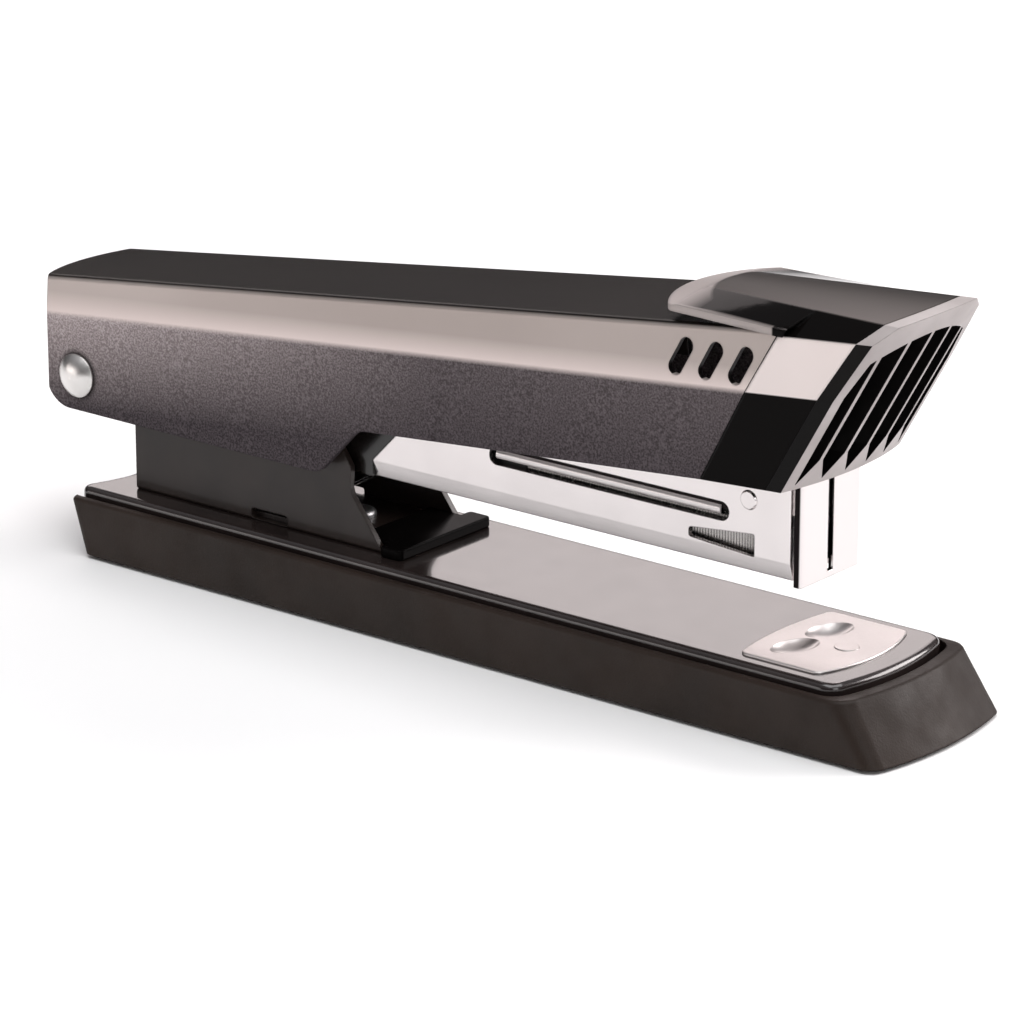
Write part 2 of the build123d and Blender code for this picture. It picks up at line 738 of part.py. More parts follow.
with BuildPart() as arm_cover:
    for x in (-88, 66):
        with BuildSketch(Plane.YZ.offset(x)) as outer_section:
            add(arm_section(x, 0))
            fillet(outer_section.vertices().group_by(Axis.Y)[-1], 1.0)
            fillet(outer_section.vertices().group_by(Axis.Y)[1], 2.0)
    loft()
    add(arm_cavity.part, mode=Mode.SUBTRACT)
    with BuildSketch(Plane.XZ) as arm_side:
        with BuildLine():
            Polyline(
                (-83.6, 60.0),
                (-83.6, 37.0),
                (-79.6, 21.8),
                (-23.0, 22.2),
                (-15.2, 30.4),
                cap_low,
                cap_high,
                close=True,
            )
        make_face()
        fillet(arm_side.vertices().sort_by_distance((-79.6, 21.8))[0], 5.0)
        fillet(arm_side.vertices().sort_by_distance((-83.6, 37.0))[0], 4.0)
        fillet(arm_side.vertices().sort_by_distance((-23.0, 22.2))[0], 3.5)
        fillet(arm_side.vertices().sort_by_distance((-15.2, 30.4))[0], 4.0)
    extrude(amount=20, both=True, mode=Mode.INTERSECT)
    with BuildSketch():
        add(arm_plan(0, 2.4))
    extrude(amount=80, mode=Mode.INTERSECT)
    with BuildSketch(Plane.XZ):
        for x, z in ((45.1, 53.5), (50.4, 53.8), (55.7, 54.1)):
            with Locations((x, z)):
                SlotOverall(6.0, 2.5, rotation=slot_tilt)
    extrude(amount=20, both=True, mode=Mode.SUBTRACT)
    with BuildSketch(Plane.XZ):
        with Locations((pivot_x, pivot_z)):
            Circle(pin_radius + running_clearance)
    extrude(amount=20, both=True, mode=Mode.SUBTRACT)
arm_cover.part.label = "arm_cover"
export_step(arm_cover.part, "parts/arm_cover.step")

stiffener_depth = 1.02        # underside of the cover's top, below the arm's top
stiffener_wall = 0.8
leaf_rivet_places = [(-44, 0), (-34, 0)]

with BuildPart() as arm_stiffener:
    with BuildSketch(arm_plane(stiffener_depth)):
        with Locations((-8, 0)):
            Rectangle(100, 15.6)
    extrude(amount=-stiffener_wall)
    with BuildSketch(arm_plane(stiffener_depth)):
        for side in (-1, 1):
            with Locations((-8, side * 7.4)):
                Rectangle(100, 0.8)
    extrude(amount=-5.0)
    with Locations(arm_plane(stiffener_depth)):
        with Locations(*leaf_rivet_places):
            Hole(1.2)
arm_stiffener.part.label = "arm_stiffener"
export_step(arm_stiffener.part, "parts/arm_stiffener.step")

leaf_depth = stiffener_depth + stiffener_wall
leaf_thickness = 0.7
tab_rivet_places = [(54.6, -2.4), (54.6, 2.4)]

with BuildPart() as driver_leaf:
    with BuildSketch(arm_plane(leaf_depth)):
        with Locations((5.0, 0)):
            RectangleRounded(108.0, 9.6, 1.5)
        with Locations(*leaf_rivet_places):
            Circle(1.2, mode=Mode.SUBTRACT)
        with Locations(*tab_rivet_places):
            Circle(0.8, mode=Mode.SUBTRACT)
    extrude(amount=-leaf_thickness)
driver_leaf.part.label = "driver_leaf"
export_step(driver_leaf.part, "parts/driver_leaf.step")

with BuildPart() as leaf_rivets:
    with BuildSketch(arm_plane(stiffener_depth)):
        with Locations(*leaf_rivet_places):
            Circle(1.2)
    extrude(amount=-stiffener_wall - leaf_thickness)
    with BuildSketch(arm_plane(leaf_depth + leaf_thickness)):
        with Locations(*leaf_rivet_places):
            Circle(2.2)
    extrude(amount=-0.7, taper=20)
leaf_rivets.part.label = "leaf_rivets"
export_step(leaf_rivets.part, "parts/leaf_rivets.step")

tab_depth = leaf_depth + leaf_thickness
tab_thickness = 0.6
blade_low = 29.7
blade_high = 57.1

with BuildPart() as driver_blade:
    with BuildSketch(Plane.XZ):
        with BuildLine():
            low_angle = degrees(asin((blade_low - pivot_z) / blade_radius))
            high_angle = degrees(asin((blade_high - pivot_z) / blade_radius))
            CenterArc((pivot_x, pivot_z), blade_radius, low_angle, high_angle - low_angle)
        trace(line_width=blade_thickness)
    extrude(amount=blade_half_width, both=True)
    with BuildSketch(arm_plane(tab_depth)):
        with Locations((55.2, 0)):
            Rectangle(8.4, 2 * blade_half_width - 3)
        with Locations(*tab_rivet_places):
            Circle(0.8, mode=Mode.SUBTRACT)
    extrude(amount=-tab_thickness)
driver_blade.part.label = "driver_blade"
export_step(driver_blade.part, "parts/driver_blade.step")

with BuildPart() as driver_rivets:
    with BuildSketch(arm_plane(leaf_depth)):
        with Locations(*tab_rivet_places):
            Circle(0.8)
    extrude(amount=-leaf_thickness - tab_thickness)
    with BuildSketch(arm_plane(tab_depth + tab_thickness)):
        with Locations(*tab_rivet_places):
            Circle(1.4)
    extrude(amount=-0.5)
driver_rivets.part.label = "driver_rivets"
export_step(driver_rivets.part, "parts/driver_rivets.step")

# Torsion spring round the hinge pin: one leg under the arm's stiffener, one on the magazine's floor.
arm_spring_wire = 0.45
arm_spring_radius = 3.1
arm_spring_half = 3.0

with BuildPart() as arm_spring:
    with BuildLine():
        arm_coil = Helix(
            pitch=1.2,
            height=2 * arm_spring_half,
            radius=arm_spring_radius,
            center=(pivot_x, -arm_spring_half, pivot_z),
            direction=(0, 1, 0),
        )
    with BuildSketch(Plane(origin=arm_coil @ 0, z_dir=arm_coil % 0)):
        Circle(arm_spring_wire)
    sweep(is_frenet=True)
arm_spring.part.label = "arm_spring"
export_step(arm_spring.part, "parts/arm_spring.step")

# ---------------------------------------------------------------- nose
rest_rear = 37.5              # bowed rear edge of the thumb rest: its middle and its corners
rest_corner = 42.2
rest_corner_half = 12.5
rest_bow = rest_corner - rest_rear
rear_radius = (rest_corner_half**2 + rest_bow**2) / (2 * rest_bow)
rear_climb = 0.26             # slope of the rest's rear, up from rear_brow to its crowned top
rest_under = 59.4
rest_brow = 60.5              # top of the thumb rest's upright sides
rear_brow = rest_brow - 0.3
nose_wall = 1.7


def rest_edge(x):
    """Half width and height of the edges of the thumb rest's crowned top."""
    return 0.12 * x, 59.8 + 0.04 * x


def rest_half(x):
    """Half width of the thumb rest between its upright sides, which overhang the arm's shoulders."""
    return 9.77 + 0.06 * x


def rest_section(x):
    """Section of the thumb rest where it overhangs the arm: upright sides and a crowned top."""
    edge_half, edge_z = rest_edge(x)
    half = rest_half(x)
    with BuildSketch() as section:
        with BuildLine():
            Polyline(
                (-edge_half, edge_z),
                (-half, rest_brow),
                (-half, rest_under),
                (half, rest_under),
                (half, rest_brow),
                (edge_half, edge_z),
            )
            ThreePointArc((edge_half, edge_z), (0, edge_z + 0.4), (-edge_half, edge_z))
        make_face()
    return section.sketch


def nose_section(x, inset):
    """Section of the nose at x: the arm's sides and shoulders under a crowned, bevelled top."""
    crease_half, crease_z = flank_line(x)
    foot_half = 13.2 + 0.026 * x
    edge_half, edge_z = rest_edge(x)
    shoulder_half = 13.0 - inset
    shoulder_z = 53.5 + 0.095 * x - 0.7 * inset
    edge_half -= 0.5 * inset
    edge_z -= inset
    with BuildSketch() as section:
        with BuildLine():
            Polyline(
                (-edge_half, edge_z),
                (-shoulder_half, shoulder_z),
                (inset - crease_half, crease_z - 0.4 * inset),
                (inset - foot_half, 15),
                (foot_half - inset, 15),
                (crease_half - inset, crease_z - 0.4 * inset),
                (shoulder_half, shoulder_z),
                (edge_half, edge_z),
            )
            ThreePointArc((edge_half, edge_z), (0, edge_z + 0.4), (-edge_half, edge_z))
        make_face()
    return section.sketch


def ahead_of_cap_line(gap):
    """Prism that fills all space in front of the line where the nose meets the arm cover."""
    low_x, low_z = cap_low
    high_x, high_z = cap_high
    lean = (high_x - low_x) / (high_z - low_z)
    with BuildPart() as prism:
        with BuildSketch(Plane.XZ):
            with BuildLine():
                Polyline(
                    (low_x + gap, low_z),
                    (low_x + gap + 14.6, low_z + 1.0),
                    (90, low_z + 3),
                    (90, 70),
                    (high_x + gap + lean * (70 - high_z), 70),
                    close=True,
                )
            make_face()
        extrude(amount=30, both=True)
    return prism.part


# Space over the cone that slopes the thumb rest's rear end.
with BuildPart() as rear_former:
    with Locations((rest_rear + rear_radius, 0, rear_brow)):
        Box(30, 40, 10, align=(Align.MAX, Align.CENTER, Align.MIN))
        Cone(
            rear_radius,
            2,
            rear_climb * (rear_radius - 2),
            align=(Align.CENTER, Align.CENTER, Align.MIN),
            mode=Mode.SUBTRACT,
        )

with BuildPart() as thumb_rest:
    for x in (30, 85):
        with BuildSketch(Plane.YZ.offset(x)):
            add(rest_section(x))
    loft()
    with BuildSketch(Plane.XY.offset(50)) as rest_plan:
        with BuildLine():
            ThreePointArc((rest_corner, -rest_corner_half), (rest_rear, 0), (rest_corner, rest_corner_half))
            Polyline(
                (rest_corner, rest_corner_half),
                (90, rest_half(90) + 0.6),
                (90, -rest_half(90) - 0.6),
                (rest_corner, -rest_corner_half),
            )
        make_face()
        fillet(rest_plan.vertices().group_by(Axis.X)[-2], 3.0)
    extrude(amount=20, mode=Mode.INTERSECT)
    add(rear_former.part, mode=Mode.SUBTRACT)
    add(ahead_of_cap_line(1.2), mode=Mode.SUBTRACT)
    for x in (30, 85):
        with BuildSketch(Plane.YZ.offset(x)):
            add(arm_section(x, -0.12))
    loft(mode=Mode.SUBTRACT)

# Outside of the whole nose, before it is split into cap and grille.
with BuildPart() as nose_block:
    for x in (30, 85):
        with BuildSketch(Plane.YZ.offset(x)) as outer_section:
            add(nose_section(x, 0))
            fillet(outer_section.vertices().sort_by_distance((flank_line(x)[0], flank_line(x)[1]))[0], 2.0)
            fillet(outer_section.vertices().sort_by_distance((-flank_line(x)[0], flank_line(x)[1]))[0], 2.0)
    loft()
    add(ahead_of_cap_line(0.12), mode=Mode.INTERSECT)
    add(thumb_rest.part)
    add(behind_front(0), mode=Mode.INTERSECT)

with BuildPart() as nose_hollow:
    for x in (30, 85):
        with BuildSketch(Plane.YZ.offset(x)):
            add(nose_section(x, nose_wall))
    loft()
    add(ahead_of_cap_line(-3).moved(Location((0, 0, -4))), mode=Mode.INTERSECT)
    add(behind_front(grille_thickness), mode=Mode.INTERSECT)

with BuildPart() as nose_cap:
    add(nose_block.part)
    add(behind_front(grille_thickness), mode=Mode.INTERSECT)
    add(nose_hollow.part, mode=Mode.SUBTRACT)
nose_cap.part.label = "nose_cap"
export_step(nose_cap.part, "parts/nose_cap.step")

sill_low = 38.2               # the openings' floors, and how high they rise towards the fins
sill_high = 41.8

with BuildPart() as nose_grille:
    add(nose_block.part)
    add(behind_front(grille_thickness), mode=Mode.SUBTRACT)
    with BuildSketch(Plane.YZ.offset(50)):
        with BuildLine():
            Polyline((-11.3, 57.6), (-12.7, 52.4), (-12.6, sill_low), (12.6, sill_low), (12.7, 52.4), (11.3, 57.6))
            ThreePointArc((11.3, 57.6), (0, 60.2), (-11.3, 57.6))
        make_face()
        for step in range(-2, 3):
            with Locations((step * fin_pitch, 50)):
                Rectangle(fin_width, 40, mode=Mode.SUBTRACT)
        for step in range(-3, 4):
            middle = step * fin_pitch
            with BuildLine():
                Polyline(
                    (middle - fin_pitch / 2, sill_low),
                    (middle - fin_width / 2, sill_high),
                    (middle + fin_width / 2, sill_high),
                    (middle + fin_pitch / 2, sill_low),
                    close=True,
                )
            make_face(mode=Mode.SUBTRACT)
    extrude(amount=40, mode=Mode.SUBTRACT)
nose_grille.part.label = "nose_grille"
export_step(nose_grille.part, "parts/nose_grille.step")
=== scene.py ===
import json
import math

import bmesh
import bpy
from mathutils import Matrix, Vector


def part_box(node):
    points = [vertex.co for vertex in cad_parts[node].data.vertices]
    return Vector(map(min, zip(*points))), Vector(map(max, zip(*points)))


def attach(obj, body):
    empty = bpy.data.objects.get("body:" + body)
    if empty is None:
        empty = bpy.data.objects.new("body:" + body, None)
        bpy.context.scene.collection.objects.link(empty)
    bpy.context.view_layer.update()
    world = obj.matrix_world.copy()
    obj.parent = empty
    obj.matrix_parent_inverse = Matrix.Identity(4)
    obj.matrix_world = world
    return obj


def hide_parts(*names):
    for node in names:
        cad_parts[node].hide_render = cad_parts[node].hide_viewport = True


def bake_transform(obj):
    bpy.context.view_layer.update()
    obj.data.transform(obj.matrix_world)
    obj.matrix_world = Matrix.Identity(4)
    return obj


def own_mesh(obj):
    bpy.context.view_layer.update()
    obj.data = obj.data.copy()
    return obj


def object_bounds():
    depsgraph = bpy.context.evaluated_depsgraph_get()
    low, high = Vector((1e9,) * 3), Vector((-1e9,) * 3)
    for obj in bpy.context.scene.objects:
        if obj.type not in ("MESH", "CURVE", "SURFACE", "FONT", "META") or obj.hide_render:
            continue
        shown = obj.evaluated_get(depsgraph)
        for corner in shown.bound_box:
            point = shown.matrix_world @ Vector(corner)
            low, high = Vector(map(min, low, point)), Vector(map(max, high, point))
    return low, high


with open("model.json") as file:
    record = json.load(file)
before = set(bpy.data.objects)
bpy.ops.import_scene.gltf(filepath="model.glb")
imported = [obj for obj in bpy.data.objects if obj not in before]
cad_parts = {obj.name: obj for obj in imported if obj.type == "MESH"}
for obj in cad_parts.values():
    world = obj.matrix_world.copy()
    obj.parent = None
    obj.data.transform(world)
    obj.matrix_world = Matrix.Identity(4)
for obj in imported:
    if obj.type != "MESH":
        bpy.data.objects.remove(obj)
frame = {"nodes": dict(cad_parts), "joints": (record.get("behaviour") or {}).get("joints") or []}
cad_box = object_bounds()

# Metres, in the CAD's row frame: X from the hinge to the nose, Y across, Z up, desk at Z = 0.
MM = 0.001
nodes = frame["nodes"]

# ---------------------------------------------------------------- places taken from the frame
joints = {joint["name"]: joint for joint in frame["joints"]}
pivot = Vector(joints["arm_hinge"]["pos_m"])
strip_low, strip_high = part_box("staple_strip")
coil_low, coil_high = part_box("pusher_spring")
leaf_low, leaf_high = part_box("lift_spring")

# The arm's edges in side view, as (height over the hinge end's origin, climb per metre of length)
CREASE_LINE = (44.8 * MM, 0.103)          # between the textured side and the smooth bevel
TOP_LINE = (52.55 * MM, 0.126)            # the arm's flat top
SHOULDER_LINE = (53.5 * MM, 0.095)        # top of the nose's bevel
REST_EDGE_LINE = (59.8 * MM, 0.04)        # edge of the thumb rest's crowned top
REST_EDGE_CLIMB = 0.12                    # and half its width, for each metre along X
REST_REAR = (55.9 * MM, 12.4 * MM)        # middle and radius of the bow behind that top


# ---------------------------------------------------------------- materials
class Surface:
    """A procedural material whose patterns are laid out in the object's own coordinates."""

    def __init__(self, name, color, roughness, metallic=0.0, specular=0.5, coat=0.0, coat_roughness=0.05):
        self.material = bpy.data.materials.new(name)
        self.material.use_nodes = True
        self.tree = self.material.node_tree
        self.shader = self.tree.nodes["Principled BSDF"]
        self.shader.inputs["Base Color"].default_value = (*color, 1)
        self.shader.inputs["Roughness"].default_value = roughness
        self.shader.inputs["Metallic"].default_value = metallic
        self.shader.inputs["Specular IOR Level"].default_value = specular
        self.shader.inputs["Coat Weight"].default_value = coat
        self.shader.inputs["Coat Roughness"].default_value = coat_roughness
        place = self.tree.nodes.new("ShaderNodeTexCoord")
        self.place = place.outputs["Object"]
        self.facing = place.outputs["Normal"]
        self.normal = None

    def put(self, value, socket):
        """Links an output, or sets a number or colour, on an input socket."""
        if isinstance(value, bpy.types.NodeSocket):
            self.tree.links.new(value, socket)
        elif isinstance(value, tuple):
            socket.default_value = (*value, 1)
        else:
            socket.default_value = value

    def math(self, operation, a, b=0.0, clamp=False):
        node = self.tree.nodes.new("ShaderNodeMath")
        node.operation = operation
        node.use_clamp = clamp
        self.put(a, node.inputs[0])
        self.put(b, node.inputs[1])
        return node.outputs[0]

    def axis(self, name, vector=None):
        node = self.tree.nodes.new("ShaderNodeSeparateXYZ")
        self.tree.links.new(vector or self.place, node.inputs[0])
        return node.outputs[name]

    def stretched(self, scale):
        node = self.tree.nodes.new("ShaderNodeMapping")
        self.tree.links.new(self.place, node.inputs["Vector"])
        node.inputs["Scale"].default_value = scale
        return node.outputs[0]

    def noise(self, size, detail=2.0, stretch=(1, 1, 1)):
        """Noise from 0 to 1 whose blotches are about size metres across."""
        node = self.tree.nodes.new("ShaderNodeTexNoise")
        self.tree.links.new(self.stretched(stretch), node.inputs["Vector"])
        node.inputs["Scale"].default_value = 1 / size
        node.inputs["Detail"].default_value = detail
        return node.outputs["Fac"]

    def cells(self, size):
        """Distance from the middle of round cells about size metres across."""
        node = self.tree.nodes.new("ShaderNodeTexVoronoi")
        node.feature = "SMOOTH_F1"
        self.tree.links.new(self.place, node.inputs["Vector"])
        node.inputs["Scale"].default_value = 1 / size
        return node.outputs["Distance"]

    def spread(self, value, low, high, start=0.35, end=0.65):
        """Maps start..end of a value to low..high."""
        node = self.tree.nodes.new("ShaderNodeMapRange")
        self.put(value, node.inputs["Value"])
        node.inputs["From Min"].default_value = start
        node.inputs["From Max"].default_value = end
        self.put(low, node.inputs["To Min"])
        self.put(high, node.inputs["To Max"])
        return node.outputs[0]

    def blend(self, amount, a, b):
        """Colour a where amount is 0 and colour b where it is 1."""
        node = self.tree.nodes.new("ShaderNodeMix")
        node.data_type = "RGBA"
        self.put(amount, node.inputs["Factor"])
        self.put(a, node.inputs[6])
        self.put(b, node.inputs[7])
        return node.outputs[2]

    def over(self, value, edge, width):
        """1 where the value is over the edge, 0 under it, with a soft step of that width."""
        return self.spread(value, 0.0, 1.0, edge - width / 2, edge + width / 2)

    def under(self, value, edge, width):
        """1 where the value is under the edge, 0 over it, with a soft step of that width."""
        return self.spread(value, 1.0, 0.0, edge - width / 2, edge + width / 2)

    def where_all(self, *masks):
        """1 only where every mask is 1."""
        product = masks[0]
        for mask in masks[1:]:
            product = self.math("MULTIPLY", product, mask)
        return product

    def height_over(self, line):
        """Metres above a line in side view."""
        height, climb = line
        lifted = self.math("MULTIPLY", self.axis("X"), -climb)
        return self.math("SUBTRACT", self.math("ADD", self.axis("Z"), lifted), height)

    def above_line(self, line, width=0.15 * MM):
        """1 above a line in side view, 0 under it."""
        return self.over(self.height_over(line), 0.0, width)

    def below_line(self, line, width=0.15 * MM):
        """1 below a line in side view, 0 over it."""
        return self.under(self.height_over(line), 0.0, width)

    def distance(self, first, middle_first, second, middle_second):
        """Metres from a line along the third axis, in the plane of two named axes."""
        a = self.math("SUBTRACT", self.axis(first), middle_first)
        b = self.math("SUBTRACT", self.axis(second), middle_second)
        return self.math("SQRT", self.math("ADD", self.math("MULTIPLY", a, a), self.math("MULTIPLY", b, b)))

    def rounded(self, radius):
        """Shades sharp edges as if they were rounded."""
        node = self.tree.nodes.new("ShaderNodeBevel")
        node.samples = 4
        node.inputs["Radius"].default_value = radius
        self.normal = node.outputs[0]
        self.tree.links.new(self.normal, self.shader.inputs["Normal"])

    def bump(self, height, depth):
        """Raises the surface by up to depth metres."""
        node = self.tree.nodes.new("ShaderNodeBump")
        node.inputs["Distance"].default_value = depth
        self.put(height, node.inputs["Height"])
        if self.normal is not None:
            self.tree.links.new(self.normal, node.inputs["Normal"])
        self.normal = node.outputs[0]
        self.tree.links.new(self.normal, self.shader.inputs["Normal"])

    def color(self, value):
        self.put(value, self.shader.inputs["Base Color"])

    def roughness(self, value):
        self.put(value, self.shader.inputs["Roughness"])

    def metallic(self, value):
        self.put(value, self.shader.inputs["Metallic"])


def scaled(color, factor):
    return tuple(min(1.0, part * factor) for part in color)


def moulded_plastic():
    """Matte dark brown-grey plastic with a fine spark-eroded grain."""
    dark = (0.0185, 0.0115, 0.0085)
    made = Surface("moulded_plastic", dark, 0.5, specular=0.22)
    made.rounded(0.35 * MM)
    blotch = made.noise(14 * MM, 3)
    made.color(made.blend(made.spread(blotch, 0.0, 1.0), scaled(dark, 0.85), scaled(dark, 1.2)))
    made.roughness(made.spread(made.noise(6 * MM, 4), 0.42, 0.58))
    made.bump(made.noise(0.35 * MM, 3), 0.03 * MM)
    return made.material


def gloss_paint(name, color, roughness, coat, specular=0.5):
    """Stoved paint on steel: a faint orange peel under a glossy coat."""
    made = Surface(name, color, roughness, specular=specular, coat=coat, coat_roughness=0.06)
    made.rounded(0.3 * MM)
    worn = made.noise(9 * MM, 5)
    made.color(made.blend(made.spread(worn, 0.0, 1.0), scaled(color, 0.85), scaled(color, 1.25)))
    made.roughness(made.spread(made.noise(5 * MM, 4), roughness * 0.92, roughness * 1.1))
    made.bump(made.noise(1.6 * MM, 2), 0.003 * MM)
    return made.material


def arm_paint():
    """Three finishes on the arm cover: grained sides, a smooth silvery bevel and a dark satin top."""
    made = Surface("arm_paint", (0.1, 0.09, 0.1), 0.4, specular=0.06)
    made.rounded(0.4 * MM)
    over_crease = made.height_over(CREASE_LINE)

    # The grained side, with painted light making it lighter towards the crease and the hinge
    speckle = made.spread(made.noise(0.3 * MM, 2), 0.0, 1.0, 0.38, 0.66)
    low_side = made.blend(speckle, (0.032, 0.026, 0.029), (0.085, 0.071, 0.078))
    high_side = made.blend(speckle, (0.3, 0.25, 0.25), (0.56, 0.49, 0.49))
    towards_hinge = made.spread(made.axis("X"), 1.0, 0.14, -75 * MM, 0.0)
    towards_crease = made.spread(over_crease, 0.0, 1.0, -15 * MM, 0.5 * MM)
    lit = made.where_all(towards_crease, towards_hinge)
    side_color = made.blend(lit, low_side, high_side)

    # The bevel, with a painted highlight along its lower edge, and the dark top
    cloud = made.spread(made.noise(40 * MM, 2, (0.5, 1, 1)), 0.0, 1.0)
    bevel_color = made.blend(cloud, (0.36, 0.315, 0.295), (0.43, 0.38, 0.36))
    lit_edge = made.spread(over_crease, 1.0, 0.0, 0.4 * MM, 3.5 * MM)
    bevel_color = made.blend(lit_edge, bevel_color, (0.62, 0.54, 0.52))
    top_color = made.blend(cloud, (0.006, 0.0045, 0.0038), (0.011, 0.0088, 0.0075))
    on_bevel = made.above_line(CREASE_LINE, 0.9 * MM)
    on_top = made.above_line((TOP_LINE[0] - 0.35 * MM, TOP_LINE[1]), 0.3 * MM)
    smooth_color = made.blend(on_top, bevel_color, top_color)
    painted = made.blend(on_bevel, side_color, smooth_color)

    # Painted shade in a ring round the pin, and painted shade inside the slots
    from_pin = made.distance("X", pivot.x, "Z", pivot.z)
    pin_shade = made.spread(from_pin, 0.75, 0.0, 3.5 * MM, 4.4 * MM)
    along = made.math("ABSOLUTE", made.axis("X", made.facing))
    slot_wall = made.where_all(made.over(along, 0.35, 0.1), made.over(made.axis("X"), 0.0, 1 * MM))
    dark = made.math("MAXIMUM", pin_shade, slot_wall)
    made.color(made.blend(dark, painted, (0.01, 0.008, 0.008)))

    smooth_roughness = made.spread(on_top, 0.34, 0.24, 0.0, 1.0)
    made.roughness(made.spread(on_bevel, 0.55, smooth_roughness, 0.0, 1.0))
    only_bevel = made.math("SUBTRACT", on_bevel, on_top, True)
    made.metallic(made.math("MULTIPLY", only_bevel, 0.55))
    relief = made.math("MULTIPLY", made.cells(0.5 * MM), made.math("SUBTRACT", 1.0, on_bevel))
    made.bump(relief, 0.15 * MM)
    made.bump(made.noise(2.5 * MM, 3), 0.006 * MM)
    return made.material


def cap_gloss():
    """The nose cap: black gloss, with a silvery bevel and edge strip and a satin thumb rest."""
    black = (0.003, 0.0024, 0.0023)
    made = Surface("cap_gloss", black, 0.06, specular=0.04)
    made.rounded(0.6 * MM)
    side = made.math("ABSOLUTE", made.axis("Y"))

    # The thumb rest's crowned top, and the bowed slope behind it
    reach = made.math("MULTIPLY", made.axis("X"), REST_EDGE_CLIMB)
    inside = made.over(made.math("SUBTRACT", reach, side), 0.0, 0.4 * MM)
    rest_top = made.above_line((REST_EDGE_LINE[0] - 0.8 * MM, REST_EDGE_LINE[1]), 0.3 * MM)
    satin = made.where_all(inside, rest_top)
    behind_bow = made.over(made.distance("X", REST_REAR[0], "Y", 0.0), REST_REAR[1], 0.6 * MM)
    rear = made.where_all(behind_bow, made.under(made.axis("X"), 45 * MM, 5 * MM))

    # The thin edge strip under the rest, and the silvery bevel
    strip = made.where_all(
        made.over(made.axis("Z"), 59.2 * MM, 0.1 * MM),
        made.under(made.axis("Z"), 60.55 * MM, 0.3 * MM),
        made.over(side, 12.0 * MM, 0.2 * MM),
        made.under(made.axis("X"), 60.75 * MM, 0.3 * MM),
    )
    panel = made.where_all(
        made.above_line(CREASE_LINE),
        made.below_line(SHOULDER_LINE),
        made.over(side, 11.4 * MM, 0.2 * MM),
    )

    cloud = made.spread(made.noise(30 * MM, 2), 0.0, 1.0)
    panel_color = made.blend(cloud, (0.62, 0.56, 0.545), (0.7, 0.635, 0.62))
    # Painted light on the satin top: lighter towards the near side and towards the front
    along = made.spread(made.axis("X"), 0.0, 1.0, 44 * MM, 76 * MM)
    across = made.spread(made.axis("Y"), 0.0, 1.0, 8 * MM, -8 * MM)
    shade = made.math("MULTIPLY", across, made.spread(along, 0.45, 1.0, 0.0, 1.0))
    satin_color = made.blend(shade, (0.012, 0.01, 0.009), (0.1, 0.086, 0.082))
    body = made.blend(satin, black, satin_color)
    body = made.blend(rear, body, (0.36, 0.315, 0.305))
    body = made.blend(strip, body, (0.4, 0.355, 0.34))
    made.color(made.blend(panel, body, panel_color))
    rough = made.spread(made.math("MAXIMUM", satin, rear), 0.06, 0.33, 0.0, 1.0)
    made.roughness(made.spread(panel, rough, 0.3, 0.0, 1.0))
    made.metallic(made.math("MULTIPLY", panel, 0.5))
    made.bump(made.noise(1.2 * MM, 3), 0.004 * MM)
    return made.material


def grille_plastic():
    """Light satin front and top edges of the grille; painted shade makes every other face black, inside its
    openings too.
    """
    made = Surface("grille_plastic", (0.6, 0.56, 0.55), 0.35, specular=0.08)
    made.rounded(0.25 * MM)
    forward = made.over(made.axis("X", made.facing), 0.3, 0.15)
    upward = made.over(made.axis("Z", made.facing), 0.75, 0.2)
    high = made.above_line((REST_EDGE_LINE[0] - 2.4 * MM, REST_EDGE_LINE[1]))
    light = made.math("MAXIMUM", forward, made.where_all(upward, high))
    cloud = made.noise(12 * MM, 3)
    pale = made.blend(made.spread(cloud, 0.0, 1.0), (0.37, 0.335, 0.33), (0.46, 0.42, 0.415))
    # Painted shade: black on the faces that do not face forward or up
    made.color(made.blend(light, (0.004, 0.0035, 0.0035), pale))
    made.roughness(made.spread(made.noise(4 * MM, 4), 0.28, 0.42))
    made.bump(made.noise(0.8 * MM, 3), 0.008 * MM)
    return made.material


def plated(name, color, roughness, drawn=(0.08, 1, 1)):
    """Plated or bare steel with faint marks along one direction, from drawing or rolling."""
    made = Surface(name, color, roughness, metallic=1.0)
    made.rounded(0.2 * MM)
    marks = made.noise(0.5 * MM, 4, drawn)
    cloud = made.noise(9 * MM, 3)
    made.color(made.blend(made.spread(cloud, 0.0, 1.0), scaled(color, 0.96), scaled(color, 1.03)))
    made.roughness(made.spread(marks, roughness * 0.92, roughness * 1.1))
    made.bump(marks, 0.0007 * MM)
    return made


def front_nickel():
    """Nickel with painted shade, in black, on its narrow side flanges in the gap beside the sheath."""
    bright = scaled(NICKEL, 0.95)
    made = plated("front_nickel", bright, 0.2)
    sideways = made.math("ABSOLUTE", made.axis("Y", made.facing))
    flange = made.where_all(
        made.over(sideways, 0.8, 0.1),
        made.over(made.axis("X"), 60.7 * MM, 0.1 * MM),
        made.under(made.axis("X"), 61.7 * MM, 0.2 * MM),
    )
    # Painted shade: the side flanges go black
    made.color(made.blend(flange, bright, (0.01, 0.008, 0.008)))
    return made.material


def guide_steel():
    """Steel with painted shade, in black, everywhere but on the bead that shows through the sheath's long
    slot, which keeps the bright metal.
    """
    made = plated("guide_steel", NICKEL, 0.22)
    bead = made.over(made.math("ABSOLUTE", made.axis("Y")), 7.02 * MM, 0.1 * MM)
    # Painted shade: black everywhere but on the bead
    made.color(made.blend(bead, (0.012, 0.01, 0.01), NICKEL))
    made.metallic(made.math("SUBTRACT", 1.0, made.math("MULTIPLY", bead, 0.5)))
    return made.material


def soft_rubber():
    """Dull black rubber with a coarse skin."""
    made = Surface("soft_rubber", (0.02, 0.02, 0.02), 0.8, specular=0.3)
    made.roughness(made.spread(made.noise(3 * MM, 4), 0.7, 0.9))
    made.bump(made.noise(0.5 * MM, 3), 0.04 * MM)
    return made.material


